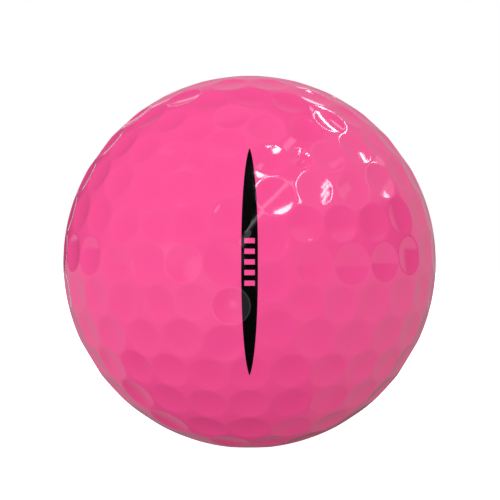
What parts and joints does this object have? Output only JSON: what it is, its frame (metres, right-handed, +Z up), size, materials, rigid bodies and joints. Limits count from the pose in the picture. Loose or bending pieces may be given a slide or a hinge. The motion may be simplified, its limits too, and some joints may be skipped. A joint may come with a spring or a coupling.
{
  "type": "golf ball",
  "caption": "Glossy pink two-piece golf ball with close-packed shallow dimples and a black spindle-shaped alignment stripe.",
  "frame": {"origin": "centre of the ball", "axes": "+Z up, square to the flat cover seam; -Y through the middle of the alignment stripe, which runs along Z; +X to the right when the stripe is looked at"},
  "size_m": [0.0426, 0.0427, 0.0426],
  "materials": {
    "core_rubber": "matt, dusted rubber",
    "cover": "high gloss clear coat over pink ionomer",
    "stripe_ink": "black pad-printed ink under a gloss clear coat"
  },
  "bodies": {
    "root": {"core": "core_rubber", "cover_upper_half": "cover", "cover_lower_half": "cover", "alignment_stripe": "stripe_ink"}
  },
  "joints": []
}
